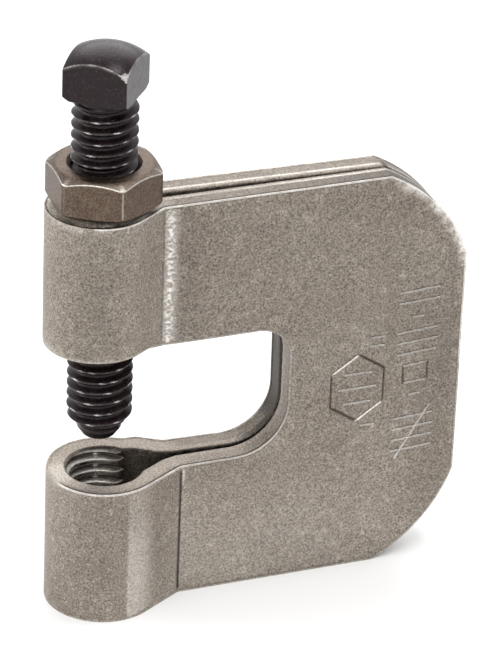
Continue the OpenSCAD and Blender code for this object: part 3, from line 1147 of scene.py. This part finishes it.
def strip_steel():
    """Grey, slightly warm steel with a fine salt-and-pepper grain, brighter where it is rubbed or carries a
    painted highlight, and darker under dark marks and painted shade.
    """
    p = Paint("strip_steel")
    polish_and_highlight, grime_and_shade = p.attribute("polish_and_highlight"), p.attribute("grime_and_shade")
    blotch = p.grain(11.0, 3.0, 0.55)
    patch = p.grain(1.3, 5.0, 0.7, distortion=0.4)
    fine = p.grain(0.24, 3.0, 0.75)
    speck = p.grain(0.42, 2.0, 0.6)
    colour = p.mix(p.spread(blotch, 0.32, 0.68), rgb(0.285, 0.243, 0.208), rgb(0.355, 0.313, 0.268))
    colour = p.mix(p.spread(patch, 0.3, 0.7), p.mix(0.45, colour, rgb(0.19, 0.165, 0.135)), colour)
    colour = p.mix(p.spread(patch, 0.55, 0.75), colour, rgb(0.43, 0.385, 0.34))
    dark = p.mix(1.0, colour, rgb(0.33, 0.32, 0.33), "MULTIPLY")
    light = p.mix(1.0, colour, rgb(1.64, 1.66, 1.65), "MULTIPLY")
    colour = p.mix(p.spread(fine, 0.32, 0.68), dark, light)
    colour = p.mix(p.spread(speck, 0.64, 0.74, 0.0, 0.5), colour, rgb(0.12, 0.10, 0.085))
    # Rubbed shine and painted highlights mix towards bright metal, dark marks and painted shade towards
    # near black.
    bright = p.calc("MULTIPLY", polish_and_highlight, p.spread(fine, 0.3, 0.6, 0.55, 1.0))
    colour = p.mix(bright, colour, rgb(0.93, 0.90, 0.85))
    colour = p.mix(p.calc("MULTIPLY", grime_and_shade, 0.9), colour, rgb(0.022, 0.019, 0.017))
    roughness = p.calc("ADD", p.spread(patch, 0.3, 0.7, 0.42, 0.54), p.spread(fine, 0.3, 0.7, -0.05, 0.06))
    roughness = p.calc("SUBTRACT", roughness, p.calc("MULTIPLY", bright, 0.26))
    normal = p.bump(fine, 0.03, p.bump(patch, 0.05))
    return p.finish(colour, roughness, normal, {"Metallic": 1.0})


def black_screw():
    """Black oxide with a few brown specks, bare metal where it is rubbed or carries a painted glint, and
    darker in painted shade.
    """
    p = Paint("black_screw")
    polish_and_highlight, grime_and_shade = p.attribute("polish_and_highlight"), p.attribute("grime_and_shade")
    patch = p.grain(1.3, 4.0, 0.6)
    fine = p.grain(0.22, 3.0, 0.65)
    colour = p.mix(p.spread(patch, 0.35, 0.7), rgb(0.002, 0.001, 0.001), rgb(0.007, 0.003, 0.004))
    colour = p.mix(p.spread(p.grain(0.34, 2.0, 0.7), 0.56, 0.72), colour, rgb(0.034, 0.019, 0.021))
    # Rubbed metal and painted glints mix towards bright metal, painted shade towards black.
    bright = p.calc("MULTIPLY", polish_and_highlight, p.spread(fine, 0.35, 0.55, 0.35, 1.0))
    colour = p.mix(bright, colour, rgb(0.80, 0.77, 0.76))
    colour = p.mix(p.calc("MULTIPLY", grime_and_shade, 0.7), colour, rgb(0.004, 0.003, 0.003))
    roughness = p.calc("ADD", p.spread(patch, 0.3, 0.7, 0.22, 0.32), p.spread(fine, 0.3, 0.7, -0.04, 0.05))
    normal = p.bump(fine, 0.016, p.bump(patch, 0.02))
    oxide = {"Metallic": bright, "IOR": 1.36, "Specular Tint": rgb(1.0, 0.84, 0.88)}
    return p.finish(colour, roughness, normal, oxide)


def nut_steel():
    """Steel under a thin brown oxide, bare along the rubbed edges, which also carry a painted highlight,
    and darker in painted shade.
    """
    p = Paint("nut_steel")
    polish_and_highlight, grime_and_shade = p.attribute("polish_and_highlight"), p.attribute("grime_and_shade")
    patch = p.grain(1.5, 4.0, 0.6)
    fine = p.grain(0.24, 3.0, 0.7)
    colour = p.mix(p.spread(patch, 0.3, 0.7), rgb(0.100, 0.070, 0.054), rgb(0.142, 0.107, 0.084))
    dark = p.mix(1.0, colour, rgb(0.55, 0.52, 0.50), "MULTIPLY")
    light = p.mix(1.0, colour, rgb(1.4, 1.42, 1.4), "MULTIPLY")
    colour = p.mix(p.spread(fine, 0.32, 0.68), dark, light)
    # Rubbed edges and painted highlights mix towards bright metal, painted shade towards dark.
    bright = p.calc("MULTIPLY", polish_and_highlight, p.spread(fine, 0.3, 0.55, 0.45, 1.0))
    colour = p.mix(bright, colour, rgb(0.90, 0.86, 0.78))
    colour = p.mix(p.calc("MULTIPLY", grime_and_shade, 0.8), colour, rgb(0.03, 0.025, 0.02))
    roughness = p.calc("SUBTRACT", p.spread(patch, 0.3, 0.7, 0.36, 0.48), p.calc("MULTIPLY", bright, 0.12))
    normal = p.bump(fine, 0.025, p.bump(patch, 0.04))
    return p.finish(colour, roughness, normal, {"Metallic": 1.0})


def pale_floor():
    """A matt, nearly white floor."""
    p = Paint("pale_floor")
    fine = p.grain(40.0, 3.0)
    colour = p.mix(fine, rgb(0.90, 0.90, 0.90), rgb(0.93, 0.93, 0.93))
    roughness = p.spread(fine, 0.3, 0.7, 0.8, 0.9)
    return p.finish(colour, roughness, p.bump(fine, 0.01), {"Specular IOR Level": 0.1})


# ---- the assembly

for make, paint, body, node, slot in (
    (clamp_body, strip_steel, "body", "clamp_body", "strip_steel"),
    (set_screw, black_screw, "screw", "set_screw", "black_screw"),
    (lock_nut, nut_steel, "nut", "lock_nut", "nut_steel"),
):
    piece = make()
    piece.data.materials.append(paint())
    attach(piece, body)
    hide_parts(node)

# ---- stage, light and camera

# Lengths from here on are in metres. The lights point at CENTRE.
FLOOR_REACH = 4.0
CENTRE = Vector((0.018, 0.0, 0.03))


def studio_floor():
    r = FLOOR_REACH
    mesh = bpy.data.meshes.new("floor")
    mesh.from_pydata([(-r, -r, 0), (r, -r, 0), (r, r, 0), (-r, r, 0)], [], [(0, 1, 2, 3)])
    mesh.materials.append(pale_floor())
    made = add_object("floor", mesh)
    made.location.z = cad_box[0].z
    return made


floor = studio_floor()


def soft_light(name, size, power, place):
    light = bpy.data.lights.new(name, "AREA")
    light.shape = "DISK"
    light.size = size
    light.energy = power
    lamp = add_object(name, light)
    lamp.location = place
    lamp.rotation_euler = (CENTRE - Vector(place)).to_track_quat("-Z", "Y").to_euler()


soft_light("key", 0.6, 3.0, (-0.35, -0.45, 0.75))
soft_light("back", 0.9, 3.6, (0.29, 0.71, 0.64))
soft_light("top", 0.16, 1.3, (0.19, -0.01, 0.93))
soft_light("left", 0.5, 1.8, (-0.80, 0.25, 0.30))

WORLD_STRENGTH = 0.9
world = bpy.data.worlds.new("studio")
world.use_nodes = True
background = world.node_tree.nodes["Background"]
background.inputs["Color"].default_value = rgb(1.0, 1.0, 1.0)
background.inputs["Strength"].default_value = WORLD_STRENGTH
scene.world = world
scene.view_settings.view_transform = "Standard"

# The camera looks at AIM from this direction and distance, rolled a little about its own axis
AZIMUTH, ELEVATION, ROLL = (math.radians(a) for a in (-21.83, 28.33, 2.36))
AIM = Vector((0.01813, 0.0, 0.03411))
DISTANCE = 0.4782
LENS, SENSOR_WIDTH = 221.6, 36


def aimed_camera():
    back = Vector((
        math.sin(AZIMUTH) * math.cos(ELEVATION),
        -math.cos(AZIMUTH) * math.cos(ELEVATION),
        math.sin(ELEVATION),
    ))
    level = Vector((0, 0, 1)).cross(back).normalized()
    right = math.cos(ROLL) * level + math.sin(ROLL) * back.cross(level)
    turn = Matrix((right, back.cross(right), back)).transposed().to_4x4()
    made = add_object("camera", bpy.data.cameras.new("camera"))
    made.data.lens, made.data.sensor_width = LENS, SENSOR_WIDTH
    made.data.clip_start, made.data.clip_end = 0.05, 20
    made.matrix_world = Matrix.Translation(AIM + back * DISTANCE) @ turn
    return made


scene.camera = aimed_camera()
